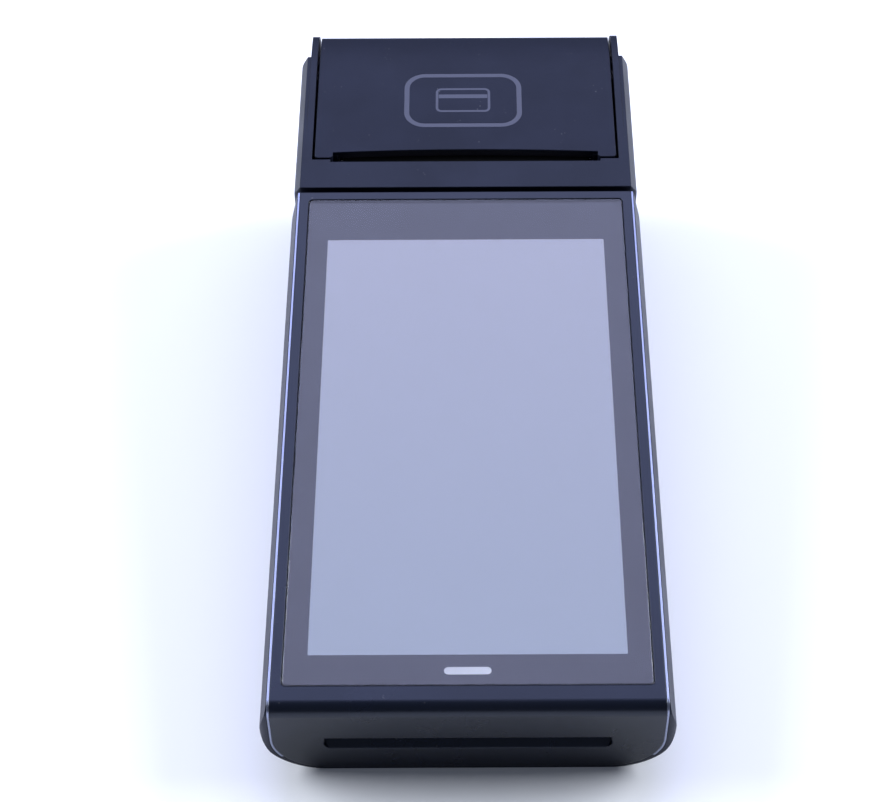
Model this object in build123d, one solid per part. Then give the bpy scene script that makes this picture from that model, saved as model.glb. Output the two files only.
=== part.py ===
from build123d import *
import math
import os

# A hand-held card payment terminal with a touch screen and a receipt printer.
# Millimetres. The pieces are drawn with the screen flat: X to the right, Y from the
# chip-card end to the printer end, Z out of the glass, glass face at Z = 0.
# TO_ROW then tips the terminal back onto its feet.

TILT = 9.9
SCREEN_LENGTH = 138.3
SCREEN_HALF = 40.55
FRONT_HEIGHT = 21.6
BEZEL_HALF = 38.05
BEZEL_BOTTOM = -20.9
BEZEL_CORNER = 10.0
TRIM_WIDTH = 0.4
FRONT_ROUND = 2.5
BELLY_RADIUS = 13.0
WALL = 2.0

SWIPE_REAR = 139.9
SWIPE_FLOOR = -15.5
PRINTER_HALF = 39.8
SHOULDER_Y = 184.5
REAR_HALF = 37.4
REAR_Y = 196.5
PARTING_Z = -8.0

GLASS_WIDTH, GLASS_Y0, GLASS_Y1 = 71.6, 5.7, 135.9
LCD_HALF, LCD_Y0, LCD_Y1 = 32.25, 10.5, 125.8
CARD_SLOT_HALF = 28.1

STRIP_EDGE_Y = 148.3
COVER_HALF = 35.2
COVER_TAB_Y = 149.7
COVER_FRONT_Y = 151.4
COVER_ARC_Y, COVER_ARC_Z, COVER_ARC_R = 186.7, -12.0, 12.0
CROWN_Y, CROWN_R = 178.5, 60.0
HINGE_Y, HINGE_Z, HINGE_PIN_R = 196.2, -14.0, 1.2

PLATEN_Y, PLATEN_Z, PLATEN_R, PLATEN_HALF = 154.5, -7.5, 4.6, 28.6
GEAR_Y, GEAR_Z = 154.5, -16.5
MOTOR_ANGLE = math.radians(195)
MOTOR_Y = GEAR_Y + 8.8 * math.cos(MOTOR_ANGLE)
MOTOR_Z = GEAR_Z + 8.8 * math.sin(MOTOR_ANGLE)

BUCKET_Y, BUCKET_Z, BUCKET_R = 173.0, -27.0, 21.3
ROLL_Y, ROLL_Z, ROLL_R, ROLL_HALF = 172.25, -31.28, 16.0, 28.4

BELLY_SLOPE = math.atan2(4.4, 112.0)
DOOR_HALF, DOOR_Y0, DOOR_Y1, DOOR_THICK = 29.8, 50.0, 103.8, 1.8

BUTTON_Z = -11.3
POWER_Y, VOLUME_UP_Y, VOLUME_DOWN_Y = 110.0, 109.0, 120.0
USB_Y, USB_Z = 92.5, -9.25
CONTACT_Y = 156.0

TABLE_Z = math.cos(math.radians(TILT)) * (-22.6 + 6 * math.tan(math.radians(TILT)))
ROW_Y = -99.47
TO_ROW = Location((0, ROW_Y, -TABLE_Z), (TILT, 0, 0))
FROM_ROW = TO_ROW.inverse()


def block(x0, x1, y0, y1, z0, z1):
    centre = ((x0 + x1) / 2, (y0 + y1) / 2, (z0 + z1) / 2)
    return Location(centre) * Box(x1 - x0, y1 - y0, z1 - z0)


def plate(x0, x1, y0, y1, z0, z1, r):
    face = RectangleRounded(x1 - x0, y1 - y0, r)
    return Location(((x0 + x1) / 2, (y0 + y1) / 2, z0)) * extrude(face, z1 - z0)


def rod(x0, x1, y, z, r):
    return Location(((x0 + x1) / 2, y, z), (0, 90, 0)) * Cylinder(r, x1 - x0)


def post(x, y, z0, z1, r):
    return Location((x, y, (z0 + z1) / 2)) * Cylinder(r, z1 - z0)


def side_prism(points, x0, x1):
    face = make_face(Polyline(*points, close=True))
    return Location((x0, 0, 0)) * extrude(Plane.YZ * face, x1 - x0)


def front_prism(face, y0, y1):
    return Location((0, y0, 0)) * extrude(Plane.XZ * face, -(y1 - y0))


def both_sides(shape):
    return shape + mirror(shape, about=Plane.YZ)


def total(shapes):
    result = shapes[0]
    for shape in shapes[1:]:
        result = result + shape
    return result


def corner(face, point, radius):
    nearest = min(face.vertices(), key=lambda v: math.dist((v.X, v.Y), point))
    return fillet([nearest], radius)


def table_z(y):
    """Height of the table under the case, with the screen drawn flat."""
    return -22.6 - math.tan(math.radians(TILT)) * (y - 6)


def belly_z(y):
    """Underside of the flat belly between the front and the paper bulge."""
    return -FRONT_HEIGHT - math.tan(BELLY_SLOPE) * y


DOOR_AXIS_Y = DOOR_Y0 + DOOR_THICK / 2 + DOOR_THICK / 2 * math.sin(BELLY_SLOPE)
DOOR_AXIS_Z = belly_z(DOOR_Y0 + DOOR_THICK / 2) + DOOR_THICK / 2 * math.cos(BELLY_SLOPE)


def side_profile(inset):
    """Outline of the case seen from the side, moved inwards by inset."""
    knee = (112.0, belly_z(112.0))
    heel = (138.0, table_z(138.0) + 1.0)
    back = (REAR_Y, table_z(REAR_Y) + 1.0)
    face = make_face(Polyline((0, 0), (0, -FRONT_HEIGHT), knee, heel, back, (REAR_Y, 0), close=True))
    face = corner(face, knee, 18)
    face = corner(face, heel, 14)
    face = corner(face, back, 23.5)
    if inset:
        face = offset(face, amount=-inset, kind=Kind.INTERSECTION)
    return face


def case_block(inset, half_width, belly_radius):
    """The side outline at one width, its lower side edges rounded."""
    half = half_width - inset
    body = extrude(Plane.YZ * side_profile(inset), half, both=True)
    low = [
        e
        for e in body.edges()
        if abs(abs(e.center().X) - half) < 0.01 and e.center().Z < inset + 0.5 - FRONT_HEIGHT
    ]
    return fillet([e for e in low if e.length > 0.5], belly_radius - inset)


def cross_section(points, round_at, y0, y1):
    """A symmetric cross-section given by its right side from top to bottom."""
    face = make_face(Polyline(*points, *[(-x, z) for x, z in reversed(points)], close=True))
    for index, radius in round_at:
        x, z = points[index]
        face = corner(face, (x, z), radius)
        face = corner(face, (-x, z), radius)
    return front_prism(face, y0, y1)


def screen_section(inset, y0, y1):
    points = [(38.6 - inset, 3), (38.6 - inset, 0), (SCREEN_HALF - inset, -8), (SCREEN_HALF - inset, -60)]
    return cross_section(points, [(2, 20)], y0, y1)


def printer_section(inset, y0, y1):
    side = PRINTER_HALF - inset
    points = [(38.2 - inset, 3), (38.2 - inset, 0), (side, -3.0), (side, -60)]
    return cross_section(points, [(2, 4)], y0, y1)


def front_outline(grow, y0, y1):
    """The front wall of the bezel: straight sides and rounded lower corners."""
    half = BEZEL_HALF + grow
    bottom = BEZEL_BOTTOM - grow
    face = make_face(Polyline((-half, 3), (half, 3), (half, bottom), (-half, bottom), close=True))
    face = corner(face, (half, bottom), BEZEL_CORNER + grow)
    face = corner(face, (-half, bottom), BEZEL_CORNER + grow)
    return front_prism(face, y0, y1)


def roundover_cutter(depth, radius):
    """Removes what lies outside the rounded edge between the front and the top."""
    centre = depth + radius
    square = block(-45, 45, depth - 5, centre, -centre, 5)
    upper = square - rod(-46, 46, centre, -centre, radius)
    return upper - block(-46, 46, centre, centre + 1, -centre - 1, 6)


def corner_cutter(x, y, inward, radius):
    """Rounds an upright edge on both sides; inward is the way into the body along Y."""
    y1 = y + inward * radius
    square = block(x - radius, x + 3, min(y - inward, y1), max(y - inward, y1), -70, 4)
    return both_sides(square - post(x - radius, y1, -71, 5, radius))


def side_trim(grow):
    """Bright strips along both sides of the top, turned down the sides of the front."""
    inner, outer = BEZEL_HALF + 0.05 - grow, BEZEL_HALF + 0.05 + TRIM_WIDTH + grow
    deep = 0.9 + grow
    top = block(inner, outer, FRONT_ROUND, SCREEN_LENGTH + 1, -deep, 4 * grow)
    bend = rod(inner, outer, FRONT_ROUND, -FRONT_ROUND, FRONT_ROUND + grow)
    bend = bend - rod(inner - 1, outer + 1, FRONT_ROUND, -FRONT_ROUND, FRONT_ROUND - deep)
    bend = bend & block(inner - 1, outer + 1, -1, FRONT_ROUND, -FRONT_ROUND, 1)
    down = front_outline(0.05 + TRIM_WIDTH + grow, -grow, deep) - front_outline(0.05 - grow, -1, 2)
    down = down & block(20, 50, -1, 2, -16.8 - grow, -FRONT_ROUND)
    return both_sides(top + bend + down)


def helix_spring(height, radius, wire, turns):
    path = Helix(pitch=height / turns, height=height, radius=radius)
    profile = Plane(origin=path @ 0, z_dir=path % 0) * Circle(wire)
    return sweep(profile, path=path)


def gear(teeth, module, turn, x0, x1, bore):
    """An involute spur gear lying across X, one tooth centred on the angle turn."""
    pitch = teeth * module / 2
    base = pitch * math.cos(math.radians(20))
    tip = pitch + 0.85 * module
    root = pitch - 1.25 * module
    half = (math.pi * module / 2 - 0.14) / (2 * pitch)
    inv20 = math.tan(math.radians(20)) - math.radians(20)

    def half_angle(r):
        pressure = math.acos(min(1.0, base / r))
        return half + inv20 - (math.tan(pressure) - pressure)

    start = max(base, root)
    radii = [start + (tip - start) * i / 4 for i in range(5)]
    flank = [(r, half_angle(r)) for r in radii]
    if root < base:
        flank = [(root, half_angle(base))] + flank
    points = []
    for tooth in range(teeth):
        mid = math.radians(turn) + 2 * math.pi * tooth / teeth
        for r, angle in flank:
            points.append((r * math.cos(mid - angle), r * math.sin(mid - angle)))
        for r, angle in reversed(flank):
            points.append((r * math.cos(mid + angle), r * math.sin(mid + angle)))
    face = make_face(Polyline(*points, close=True)) - Circle(bore)
    return Location((x0, 0, 0)) * extrude(Plane.YZ * face, x1 - x0)


def shifted(shape, y, z):
    return Location((0, y, z)) * shape


SCREW_SPOTS = [(33.4, 10.0), (33.4, 130.5)]
BOARD_SPOTS = [(28.0, 18.5), (28.0, 121.0)]
PRINTER_SPOTS = (-14.0, 25.0)


def make_front_bezel():
    body = block(-BEZEL_HALF, BEZEL_HALF, 0, SCREEN_LENGTH, -3.2, 0)
    body = body + (front_outline(0, 0, 2.2) & block(-45, 45, 0, 3, -30, 0))
    body = body + block(-36.2, 36.2, 136.9, SCREEN_LENGTH, SWIPE_FLOOR, -3)
    body = body + both_sides(block(34.4, 36.0, 2, 137, -6.2, -3))
    for x, y in SCREW_SPOTS:
        body = body + both_sides(post(x, y, -12.0, -3, 2.3))
    body = body - roundover_cutter(0, FRONT_ROUND)
    body = body - plate(-35.95, 35.95, 5.55, 136.05, -1.3, 1, 0.95)
    body = body - plate(-32.6, 32.6, 10.2, 126.2, -4, 0, 0.6)
    body = body - block(-27.9, 27.9, -1, 3, -12.1, -10.1)
    funnel = side_prism([(-0.1, -10.1), (-0.1, -13.95), (2.3, -12.1), (2.3, -10.1)], -29, 29)
    mouth = Location((0, 0, -12.05)) * front_prism(RectangleRounded(56.2, 3.9, 1.9), -1, 3)
    body = body - (funnel & mouth)
    body = body - block(10.8, 25.2, 136, 139, -11.7, -3.4)
    for x, y in SCREW_SPOTS:
        body = body - both_sides(post(x, y, -13, -4.6, 1.02))
    body = body - corner_cutter(SCREEN_HALF, SCREEN_LENGTH, -1, 3.0)
    return body


def make_lower_case():
    screen = case_block(0, SCREEN_HALF, BELLY_RADIUS) & screen_section(0, 0, 139.0)
    printer = case_block(0, PRINTER_HALF, 7.0) & block(-50, 50, 138.9, SHOULDER_Y, -70, PARTING_Z)
    rear = case_block(0, REAR_HALF, 6.0) & block(-50, 50, 170, 200, -70, -17.2)
    screen = screen - corner_cutter(SCREEN_HALF, 0, 1, 2.3)
    printer = printer - corner_cutter(PRINTER_HALF, SHOULDER_Y, -1, 0.7)
    body = screen + printer + rear
    hollow = case_block(WALL, SCREEN_HALF, BELLY_RADIUS) & screen_section(WALL, 2.1, 139.5)
    hollow = hollow + (case_block(WALL, PRINTER_HALF, 7.0) & block(-50, 50, 139, SHOULDER_Y - 2, -70, 1))
    hollow = hollow + (case_block(WALL, REAR_HALF, 6.0) & block(-50, 50, 170, REAR_Y - 2, -70, 1))
    body = body - hollow
    body = body - block(-50, 50, 138.9, 200, PARTING_Z, 5)
    body = body - block(-REAR_HALF - 0.05, REAR_HALF + 0.05, 175, 200, -17.2, 0)
    body = body - front_outline(0.05, -1, 2.4)
    body = body - block(-BEZEL_HALF - 0.05, BEZEL_HALF + 0.05, -1, 139.5, -3.2, 5)
    body = body - roundover_cutter(0, FRONT_ROUND)
    body = body - side_trim(0.05)
    body = body + block(-38.5, 38.5, 136.9, 140.3, -17.0, SWIPE_FLOOR)
    body = body - block(-50, 50, SCREEN_LENGTH - 0.02, SWIPE_REAR + 0.02, SWIPE_FLOOR, 5)
    rear_corner = corner_cutter(SCREEN_HALF, SCREEN_LENGTH, -1, 3.0)
    body = body - (rear_corner & block(-50, 50, 130, 138.3, SWIPE_FLOOR, 5))
    front_corner = corner_cutter(PRINTER_HALF, SWIPE_REAR, 1, 2.0)
    body = body - (front_corner & block(-50, 50, 139.9, 145, SWIPE_FLOOR, 5))
    for x, y in SCREW_SPOTS:
        pillar = post(x, y, belly_z(y) + 0.5, -12.0, 2.9)
        if y > 100:
            pillar = post(x, y, -40, -12.0, 2.9)
        keep_in = case_block(0.5, SCREEN_HALF, BELLY_RADIUS)
        body = body + both_sides(pillar & keep_in)
        body = body - both_sides(post(x, y, -70, -17.0, 2.15) + post(x, y, -18, -11, 1.15))
    body = body + both_sides(block(30.3, 31.2, 51, 103, belly_z(51) + 1.2, -11.4))
    body = body - door_opening()
    body = body - button_window(POWER_Y, 1, 9.4) - button_window(VOLUME_UP_Y, -1, 7.4)
    body = body - button_window(VOLUME_DOWN_Y, -1, 7.4)
    port = Location((0, USB_Y, USB_Z), (0, 0, 90)) * front_prism(RectangleRounded(9.3, 3.5, 1.7), -41, 41)
    body = body - (port & block(-45, -36, 80, 100, -20, 0))
    for i in range(5):
        for j in range(3):
            body = body - post(-24 + 3.2 * i, 121 + 3.0 * j, -50, -24, 0.7)
    body = body - total([post(x, CONTACT_Y, -60, -40, 1.7) for x in (-9, -3, 3, 9)])
    for x in PRINTER_SPOTS:
        body = body + (post(x, 147.0, -46, -33.0, 2.6) & case_block(0.5, PRINTER_HALF, 7.0))
        body = body - post(x, 147.0, -38.5, -30, 0.85)
    return body - front_feet(0.1) - rear_feet(0.1)


def door_plane_block(x0, x1, y0, y1, up0, up1, r=0.0):
    """A plate lying in the sloping belly; up is measured inwards from its surface."""
    length = (y1 - y0) / math.cos(BELLY_SLOPE)
    face = RectangleRounded(x1 - x0, length, r) if r else Rectangle(x1 - x0, length)
    solid = Location((0, 0, up0)) * extrude(face, up1 - up0)
    middle = (y0 + y1) / 2
    return Location(((x0 + x1) / 2, middle, belly_z(middle)), (-math.degrees(BELLY_SLOPE), 0, 0)) * solid


def door_opening():
    hole = door_plane_block(-30.05, 30.05, DOOR_Y0 - 0.25, DOOR_Y1 + 0.25, -1, 5, 2.2)
    groove = door_plane_block(-9.0, 9.0, DOOR_Y1 - 0.1, DOOR_Y1 + 1.6, 0.85, 3.0)
    return hole + groove


def button_window(y, side, length):
    slot = RectangleRounded(length, 3.2, 1.55)
    cut = Location((0, y, BUTTON_Z), (0, 0, 90)) * front_prism(slot, -45, 45)
    return cut & block(min(36 * side, 45 * side), max(36 * side, 45 * side), y - 8, y + 8, -20, 0)


def row_pad(x, y, length, width, z1, grow):
    """A rubber pad standing on the table, given in the upright frame."""
    face = RectangleRounded(length + 2 * grow, width + 2 * grow, width / 2 - 0.01 + grow)
    return Location((x, y, 0)) * extrude(face, z1 + grow)


def pads(y, length, width, x, z1, grow):
    pair = row_pad(x, y, length, width, z1, grow) + row_pad(-x, y, length, width, z1, grow)
    return FROM_ROW * pair


def front_feet(grow=0.0):
    return pads(-88.6, 14, 5, 24.0, 1.9, grow)


def rear_feet(grow=0.0):
    return pads(57.0, 16, 7, 24.0, 2.1, grow)


def crown(top):
    """Everything under a surface that is level and then falls gently towards the back."""
    level = block(-50, 50, 140, CROWN_Y, -60, top)
    return level + rod(-50, 50, CROWN_Y, top - CROWN_R, CROWN_R)


def make_printer_housing():
    strip = printer_section(0, SWIPE_REAR, 149.1) & block(-45, 45, 130, 160, -2.2, 0)
    cheek = printer_section(0, SWIPE_REAR, SHOULDER_Y) & block(35.8, 45, 130, 190, PARTING_Z, 0)
    wall = block(-37.6, 37.6, SWIPE_REAR, 141.1, SWIPE_FLOOR, -1)
    wall = wall - both_sides(block(36.9, 40, 139, 142, -20, PARTING_Z))
    body = strip + both_sides(cheek) + wall
    rise = [(150, -2), (150, -0.1), (156, 0), (176, 0.4), (COVER_ARC_Y, 0.4), (COVER_ARC_Y, -2)]
    ear = side_prism(rise, 35.8, REAR_HALF)
    arc = rod(35.8, REAR_HALF, COVER_ARC_Y, COVER_ARC_Z, COVER_ARC_R + 0.4)
    tail = block(35.8, REAR_HALF, 182, COVER_ARC_Y + COVER_ARC_R + 0.4, -16.0, COVER_ARC_Z)
    tail = tail + block(35.8, REAR_HALF, 183.0, REAR_Y, -17.2, -15.0)
    ear = ear + (arc & block(35, 38, 180, 200, -17.2, 1)) + tail
    ear = ear + block(35.8, REAR_HALF, 175, 188, -15.0, -2)
    body = body - corner_cutter(PRINTER_HALF, SHOULDER_Y, -1, 0.7)
    body = body + both_sides(ear & crown(0.4))
    body = body - block(-31.5, 31.5, STRIP_EDGE_Y, 150, -5, 1) - block(-31.5, 31.5, 145.4, 150, -1.45, -0.6)
    body = body - rod(-38, 38, HINGE_Y, HINGE_Z, HINGE_PIN_R)
    body = body - corner_cutter(PRINTER_HALF, SWIPE_REAR, 1, 2.0)
    return body


def make_tear_bar():
    """A strip of fine teeth that stands out a little from under the housing's edge."""
    count = 112
    pitch = 62.8 / count
    root = STRIP_EDGE_Y + 0.05
    points = [(-31.4, 145.4), (31.4, 145.4), (31.4, root)]
    for i in range(count):
        right = 31.4 - pitch * i
        points.append((right - pitch * 0.5, root + 0.5))
        points.append((right - pitch, root))
    face = make_face(Polyline(*points, close=True))
    return Location((0, 0, -1.45)) * extrude(face, 0.85)


def cover_skin(x0, x1, outer, inner):
    """The cover plate seen from the side: flat on top, rolled down at the back."""
    flat = block(x0, x1, COVER_FRONT_Y, COVER_ARC_Y, inner, outer)
    shell = rod(x0, x1, COVER_ARC_Y, COVER_ARC_Z, COVER_ARC_R + outer)
    shell = shell - rod(x0 - 1, x1 + 1, COVER_ARC_Y, COVER_ARC_Z, COVER_ARC_R + inner)
    shell = shell & block(x0 - 1, x1 + 1, COVER_ARC_Y, 205, COVER_ARC_Z, 5)
    back = COVER_ARC_Y + COVER_ARC_R
    tail = block(x0, x1, back + inner, back + outer, -14.5, COVER_ARC_Z)
    return flat + shell + tail


def make_paper_cover():
    body = cover_skin(-COVER_HALF, COVER_HALF, 0, -2.0) & crown(0)
    body = body + both_sides(block(31.0, COVER_HALF, COVER_TAB_Y, COVER_FRONT_Y, -2.0, 0))
    rounding = both_sides(block(30.9, 36, COVER_TAB_Y - 1, COVER_TAB_Y + 1, -3, 1))
    rounding = rounding - both_sides(plate(31.0, COVER_HALF, COVER_TAB_Y, 160, -4, 2, 0.9))
    body = body - rounding
    bow = post(0, COVER_FRONT_Y + 0.85 - 565.7, -3, 1, 565.7)
    body = body - (bow & block(-31, 31, COVER_FRONT_Y - 1, COVER_FRONT_Y + 2, -3, 1))
    flange = side_prism([(151.2, -1), (151.2, -7.5), (157.8, -7.5), (161.0, -1)], 29.9, 31.1)
    flange = flange + rod(29.9, 31.1, PLATEN_Y, PLATEN_Z, 3.6)
    flange = flange - rod(29, 32, PLATEN_Y, PLATEN_Z, 2.4)
    body = body + both_sides(flange)
    body = body + both_sides(block(33.2, 34.4, 164, 182, -5.5, -1))
    web = rod(33.6, COVER_HALF, COVER_ARC_Y, COVER_ARC_Z, 11.0) & block(30, 40, 183, 200, -10.5, 0)
    body = body + both_sides(web)
    knuckles = both_sides(rod(25, 35, HINGE_Y, HINGE_Z, 2.5)) + rod(-7, 7, HINGE_Y, HINGE_Z, 2.5)
    body = body + knuckles
    spring_room = block(10.5, 19.5, 190, 196.7, -20, -9.5) + block(10.5, 19.5, 190, 200, -20, -11.2)
    body = body - both_sides(spring_room)
    body = body - rod(-40, 40, HINGE_Y, HINGE_Z, HINGE_PIN_R + 0.05)
    mark = plate(-14.5, 13.5, 159.8, 178.2, -0.12, 1, 5.0) - plate(-13.3, 12.3, 161.0, 177.0, -1, 2, 3.8)
    return body - mark


def make_cover_print():
    """A plain two-line tap mark inlaid in the cover."""
    ring = plate(-14.5, 13.5, 159.8, 178.2, -0.12, 0.0, 5.0)
    return ring - plate(-13.3, 12.3, 161.0, 177.0, -1, 1, 3.8)


def make_nfc_antenna():
    coil = plate(-24, 24, 162.0, 182.0, -2.2, -2.0, 3)
    coil = coil - plate(-20.5, 20.5, 165.5, 178.5, -3, -1, 2)
    return coil + plate(-4, 4, 157.4, 163.0, -2.2, -2.0, 0.5)


def make_platen_roller():
    tube = rod(-PLATEN_HALF, PLATEN_HALF, PLATEN_Y, PLATEN_Z, PLATEN_R)
    return tube - rod(-40, 40, PLATEN_Y, PLATEN_Z, 2.2)


def make_platen_shaft():
    core = rod(-PLATEN_HALF - 0.4, PLATEN_HALF + 0.4, PLATEN_Y, PLATEN_Z, 2.2)
    return core + rod(-33.5, 31.4, PLATEN_Y, PLATEN_Z, 1.5)


def make_platen_bushes():
    bush = rod(29.9, 31.1, PLATEN_Y, PLATEN_Z, 2.4) - rod(29, 32, PLATEN_Y, PLATEN_Z, 1.54)
    return both_sides(bush)


def make_reduction_gear():
    small = gear(20, 0.5, 9, -33.4, -31.4, 1.05)
    large = gear(34, 0.4, 195, -35.3, -33.9, 1.05)
    hub = rod(-33.9, -33.4, 0, 0, 4.0) - rod(-34, -33, 0, 0, 1.05)
    return shifted(small + large + hub, GEAR_Y, GEAR_Z)


def make_motor_pinion():
    pinion = shifted(gear(10, 0.4, 15 + 18, -35.3, -33.7, 0.7), MOTOR_Y, MOTOR_Z)
    return pinion + rod(-35.3, -29.0, MOTOR_Y, MOTOR_Z, 0.7)


def make_stepper_motor():
    can = rod(-29.7, -19.8, MOTOR_Y, MOTOR_Z, 5.5)
    can = can + rod(-19.8, -19.2, MOTOR_Y, MOTOR_Z, 2.0)
    can = can + block(-27.0, -22.0, MOTOR_Y - 3, MOTOR_Y + 3, MOTOR_Z - 6.3, MOTOR_Z - 4)
    return can - rod(-30, -28.6, MOTOR_Y, MOTOR_Z, 0.95)


def make_printer_frame():
    outline = [(143.0, -27.0), (143.0, -14.5), (150.8, -12.0), (160.0, -12.0), (160.6, -18.0)]
    outline = outline + [(151.2, -24.0), (151.0, -27.0)]
    body = both_sides(side_prism(outline, 29.9, 31.1))
    body = body + block(-30.5, 30.5, 143.0, 150.8, -27.0, -25.4)
    body = body + block(-18.5, 30.5, 141.8, 144.0, -26.0, -14.0)
    body = body + total([post(x, 147.0, -33.0, -26.0, 2.8) for x in PRINTER_SPOTS])
    body = body - total([post(x, 147.0, -34.0, -25.0, 1.05) for x in PRINTER_SPOTS])
    body = body - rod(-32, -29, MOTOR_Y, MOTOR_Z, 0.95) - rod(-32, -29, GEAR_Y, GEAR_Z, 1.0)
    body = body - (rod(-30.0, -19.0, MOTOR_Y, MOTOR_Z, 5.7) + rod(-29.9, 29.9, BUCKET_Y, BUCKET_Z, 21.8))
    return body


def make_gear_stud():
    return rod(-36.2, -29.9, GEAR_Y, GEAR_Z, 1.0) + rod(-36.2, -35.5, GEAR_Y, GEAR_Z, 1.6)


def make_thermal_head():
    body = block(-28.4, 28.4, 149.1, 149.5, -12.6, -3.4)
    return body + rod(-27, 27, 149.5, PLATEN_Z, 0.1)


def make_heat_sink():
    body = block(-29.2, 29.2, 147.4, 149.1, -12.9, -3.2)
    for i in range(12):
        x = -27.5 + 5.0 * i
        body = body - block(x - 1.0, x + 1.0, 147.0, 148.3, -13.5, -9.6)
    return body


def make_head_springs():
    coil = Location((0, 141.1, -6.9), (-90, 0, 0)) * helix_spring(5.8, 1.5, 0.2, 7)
    return total([Location((x, 0.25, 0)) * coil for x in (-20, 0, 20)])


def make_paper_bucket():
    ring = rod(-29.7, 29.7, BUCKET_Y, BUCKET_Z, BUCKET_R)
    ring = ring - rod(-28.7, 28.7, BUCKET_Y, BUCKET_Z, BUCKET_R - 0.6)
    ring = ring & block(-40, 40, 140, 200, -60, -17.5)
    return ring - block(-28.7, 28.7, 160, 186, -20, 0)


def make_paper_roll():
    return rod(-ROLL_HALF, ROLL_HALF, ROLL_Y, ROLL_Z, ROLL_R) - rod(-30, 30, ROLL_Y, ROLL_Z, 6.5)


def make_paper_core():
    return rod(-ROLL_HALF, ROLL_HALF, ROLL_Y, ROLL_Z, 6.5) - rod(-30, 30, ROLL_Y, ROLL_Z, 5.4)


def make_hinge_spring():
    coil = Location((0, HINGE_Y, HINGE_Z), (0, 90, 0)) * helix_spring(7.0, 1.75, 0.25, 9)
    one = Location((11.5, 0, 0)) * coil
    return one + Location((-30.0, 0, 0)) * one


def make_touch_glass():
    glass = plate(-GLASS_WIDTH / 2, GLASS_WIDTH / 2, GLASS_Y0, GLASS_Y1, -1.1, 0, 0.8)
    return chamfer(glass.faces().sort_by(Axis.Z)[-1].edges(), 0.12)


def make_display_gasket():
    ring = plate(-35.6, 35.6, 5.9, 135.7, -1.3, -1.1, 0.6)
    return ring - plate(-32.7, 32.7, 10.0, 126.4, -2, 0, 0.8)


def make_display_flex():
    lie = block(-9, 9, 118, 129.0, -3.4, -3.2)
    drop = block(-9, 9, 128.8, 129.0, -6.4, -3.2)
    tail = block(-9, 9, 121, 129.0, -6.4, -6.2)
    return lie + drop + tail


def make_inner_chassis():
    body = plate(-34.2, 34.2, 3.0, 134.6, -5.2, -4.0, 1.5)
    body = body + both_sides(block(32.8, 34.2, 14, 126, -4.0, -3.2))
    body = body + block(-9, 9, 132.0, 133.2, -12.5, -4.0).moved(Location((18, 0, 0)))
    for x, y in BOARD_SPOTS:
        body = body + both_sides(post(x, y, -6.4, -5.0, 2.2))
        body = body - both_sides(post(x, y, -6.5, -3.9, 0.8))
    for x, y in SCREW_SPOTS:
        body = body - both_sides(post(x, y, -6, -3, 2.6))
    body = body - block(-11, 11, 119.5, 131.0, -6, -3.9)
    return body - block(10.0, 26.0, 133.2, 136, -14, -3.9)


def make_main_board():
    body = plate(-33.2, 33.2, 14.0, 126.0, -7.6, -6.4, 1.5)
    for x, y in BOARD_SPOTS:
        body = body - both_sides(post(x, y, -8, -6, 1.1))
    return body


def make_board_screws():
    shapes = []
    for x, y in BOARD_SPOTS:
        for s in (-1, 1):
            shapes.append(post(s * x, y, -8.5, -7.6, 1.8) + post(s * x, y, -8.0, -4.1, 0.78))
    return total(shapes)


def make_board_shields():
    def can(x0, x1, y0, y1):
        return block(x0, x1, y0, y1, -9.2, -7.6) - block(x0 + 0.3, x1 - 0.3, y0 + 0.3, y1 - 0.3, -8.9, -7)

    return can(-25, -4, 56, 80) + can(2, 24, 56, 88) + can(-25, -8, 84, 100)


def make_board_connectors():
    upper = block(-7, 7, 105, 108, -9.4, -7.6) + block(-22, -12, 105, 108.5, -9.2, -7.6)
    return upper + block(-10, 10, 121.5, 125.5, -6.2, -6.0) + block(-12, 12, 50.8, 53.0, -9.2, -7.6)


def make_backup_cell():
    return post(16, 113, -10.6, -7.9, 6.0) + block(9.4, 22.6, 110, 116, -7.9, -7.6)


def make_card_reader_frame():
    body = block(-31, 31, 3.2, 47.0, -14.0, -9.6)
    body = body - block(-27.3, 27.3, 3.0, 46.0, -11.75, -10.55)
    body = body - block(-25, 25, 10, 44, -15, -12.6)
    body = body - block(-8.5, 8.5, 22.0, 37.0, -10.6, -9)
    body = body - both_sides(post(33.4, 10.0, -15, -9, 3.2))
    return body + both_sides(block(24, 31, 24, 30, -9.7, -7.6))


def make_card_reader_contacts():
    carrier = block(-8.4, 8.4, 25.0, 34.0, -10.3, -9.65)
    shapes = [carrier]
    for row in (27.0, 32.0):
        for i in range(4):
            x = -3.81 + 2.54 * i
            shapes.append(block(x - 0.5, x + 0.5, row - 2.2, row + 1.0, -10.8, -10.2))
    return total(shapes)


def make_magstripe_head():
    body = block(11.0, 25.0, 134.0, 137.2, -11.5, -3.6)
    nose = rod(11.0, 25.0, 0, 0, 8.0) & block(10, 26, 0, 9, -3.7, 3.7)
    nose = shifted(nose, 130.6, -7.55)
    return body + (nose & block(10, 26, 136.0, 140, -12, -3))


def make_magstripe_spring():
    leaf = block(10.8, 25.2, 133.2, 133.45, -11.6, -4.6)
    return leaf + block(16.0, 20.0, 133.4, 134.0, -8.6, -6.6)


def make_battery_pack():
    body = plate(-29.4, 29.4, 51.2, 102.6, -21.3, -9.6, 2.5)
    return body - block(-12, 12, 102.0, 104, -14, -9)


def make_battery_contacts():
    body = block(-9, 9, 103.2, 104.6, -13.6, -8.2)
    for i in range(4):
        x = -6 + 4 * i
        body = body + block(x - 0.6, x + 0.6, 102.1, 103.3, -12.4, -10.4)
    return body


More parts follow.
